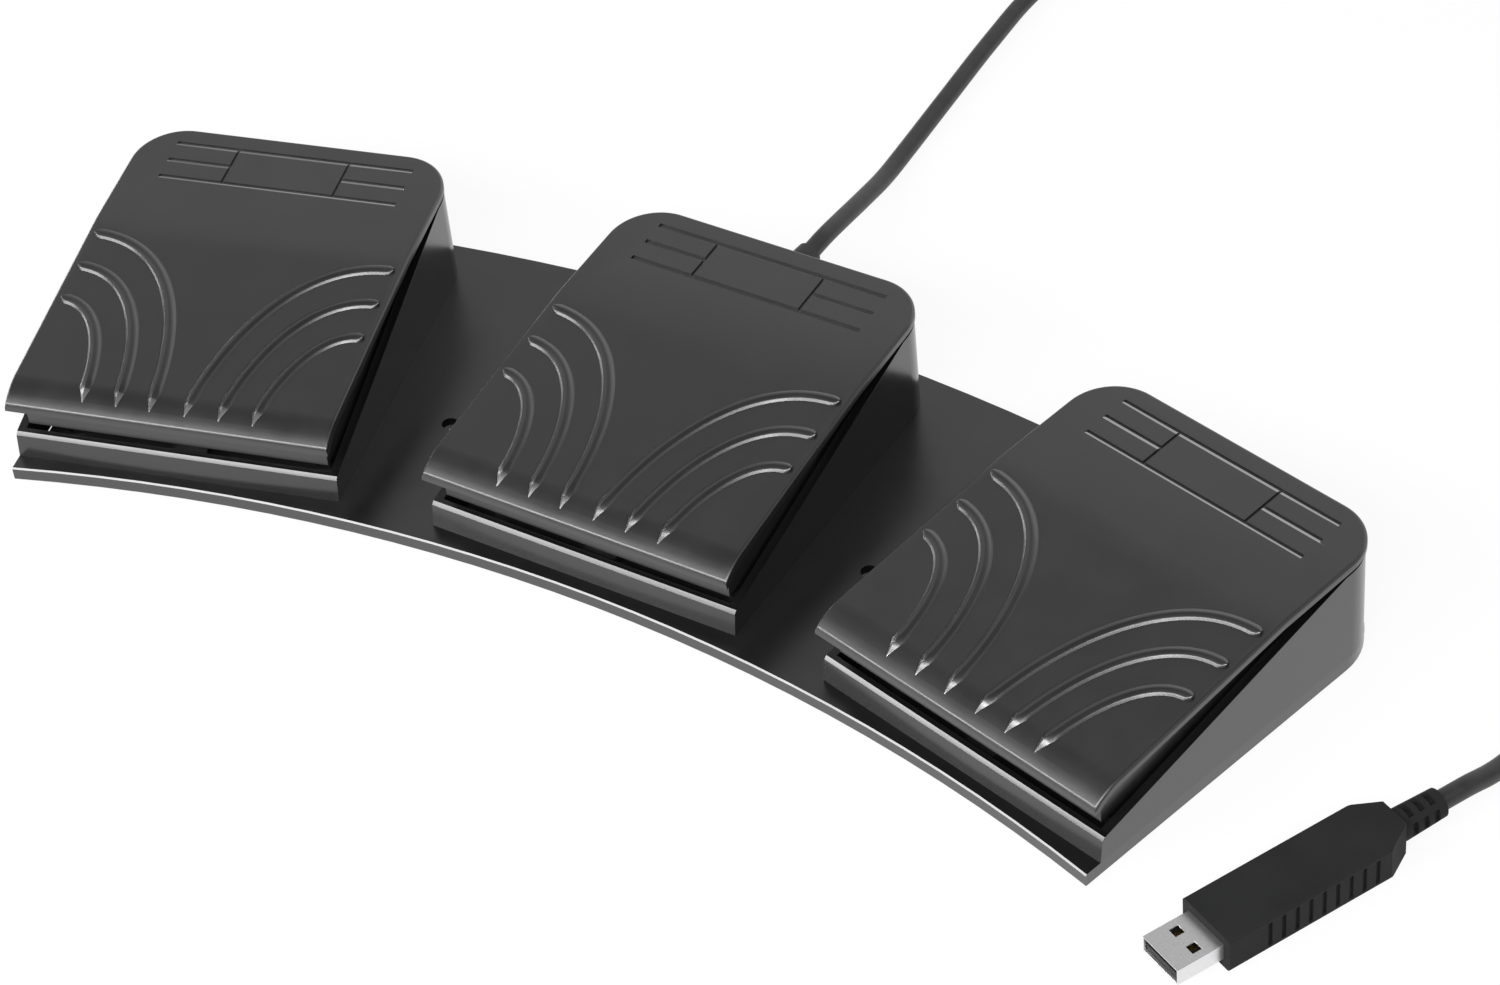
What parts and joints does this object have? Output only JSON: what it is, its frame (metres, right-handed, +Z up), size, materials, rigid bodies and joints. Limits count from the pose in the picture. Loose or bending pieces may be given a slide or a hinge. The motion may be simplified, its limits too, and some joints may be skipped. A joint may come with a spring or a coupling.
{
  "type": "usb foot pedal switch",
  "caption": "Fan of hinged foot pedals in wedge housings on an arched base, each pressing its own microswitch, with a long USB cable and plug.",
  "frame": {"origin": "on the floor, under the middle of the base's outline, with the free cable left out", "axes": "+X to the user's right along the fan of pedals, +Y away from the user to the rear, +Z up"},
  "size_m": [0.3989, 0.364, 0.0332],
  "materials": {
    "shell": "moulded black plastic, satin to gloss",
    "pedal": "moulded black plastic, fine satin grain",
    "plate": "black painted sheet steel",
    "rubber": "matt black rubber",
    "steel": "bright steel",
    "spring": "spring wire",
    "bracket": "dark grey moulded plastic",
    "board": "green circuit board",
    "switch": "black moulded switch body",
    "plunger": "red moulded plunger",
    "chip": "black moulded chip",
    "parts": "metal cans",
    "header": "ivory moulded connector",
    "ribbon": "grey flat cable",
    "cable": "black cable jacket, satin",
    "boot": "black flexible boot",
    "tie": "dark strap",
    "grip": "black moulded grip, satin",
    "usb_metal": "bright plated shell",
    "tongue": "black moulded tongue",
    "contact": "gold-coloured contacts"
  },
  "bodies": {
    "base": {"base_shell": "shell", "bottom_plate": "plate", "rubber_feet": "rubber", "plate_screws": "steel", "bracket_screws": "steel", "left_housing": "shell", "middle_housing": "shell", "right_housing": "shell", "left_hinge_pin": "steel", "middle_hinge_pin": "steel", "right_hinge_pin": "steel", "left_return_spring": "spring", "middle_return_spring": "spring", "right_return_spring": "spring", "left_stop_pad": "rubber", "middle_stop_pad": "rubber", "right_stop_pad": "rubber", "left_switch_bracket": "bracket", "middle_switch_bracket": "bracket", "right_switch_bracket": "bracket", "left_switch_board": "board", "middle_switch_board": "board", "right_switch_board": "board", "left_switch_body": "switch", "middle_switch_body": "switch", "right_switch_body": "switch", "controller_board": "board", "controller_chip": "chip", "board_parts": "parts", "board_screws": "steel", "cable_header": "header", "left_ribbon": "ribbon", "middle_ribbon": "ribbon", "right_ribbon": "ribbon", "cable_inner": "cable", "cable_boot": "boot", "cable_lead": "cable", "cable_coil": "cable", "cable_tail": "cable", "coil_tie": "tie", "plug_grip": "grip", "plug_relief": "grip", "usb_shell": "usb_metal", "usb_tongue": "tongue", "usb_contacts": "contact"},
    "left_pedal": {"left_pedal": "pedal"},
    "left_plunger": {"left_switch_plunger": "plunger"},
    "middle_pedal": {"middle_pedal": "pedal"},
    "middle_plunger": {"middle_switch_plunger": "plunger"},
    "right_pedal": {"right_pedal": "pedal"},
    "right_plunger": {"right_switch_plunger": "plunger"}
  },
  "joints": [
    {"name": "left_pedal_hinge", "type": "hinge", "parent": "base", "child": "left_pedal", "pos_m": [-0.12931, 0.03319, 0.026], "axis": [0.9677, 0.2521, 0], "range_deg": [0, 3.5], "stiffness_Nm_per_rad": 3, "springref_deg": -4.58, "deforming": ["left_return_spring"]},
    {"name": "left_plunger_slide", "type": "slide", "parent": "base", "child": "left_plunger", "axis": [0, 0, -1], "range_m": [0, 0.0013]},
    {"name": "middle_pedal_hinge", "type": "hinge", "parent": "base", "child": "middle_pedal", "pos_m": [0, 0.04975, 0.026], "axis": [1, 0, 0], "range_deg": [0, 3.5], "stiffness_Nm_per_rad": 3, "springref_deg": -4.58, "deforming": ["middle_return_spring"]},
    {"name": "middle_plunger_slide", "type": "slide", "parent": "base", "child": "middle_plunger", "axis": [0, 0, -1], "range_m": [0, 0.0013]},
    {"name": "right_pedal_hinge", "type": "hinge", "parent": "base", "child": "right_pedal", "pos_m": [0.12931, 0.03319, 0.026], "axis": [0.9677, -0.2521, 0], "range_deg": [0, 3.5], "stiffness_Nm_per_rad": 3, "springref_deg": -4.58, "deforming": ["right_return_spring"]},
    {"name": "right_plunger_slide", "type": "slide", "parent": "base", "child": "right_plunger", "axis": [0, 0, -1], "range_m": [0, 0.0013]}
  ],
  "couplings": [
    {"joint": "left_plunger_slide", "follows": "left_pedal_hinge", "m_per_rad": 0.017},
    {"joint": "middle_plunger_slide", "follows": "middle_pedal_hinge", "m_per_rad": 0.017},
    {"joint": "right_plunger_slide", "follows": "right_pedal_hinge", "m_per_rad": 0.017}
  ]
}
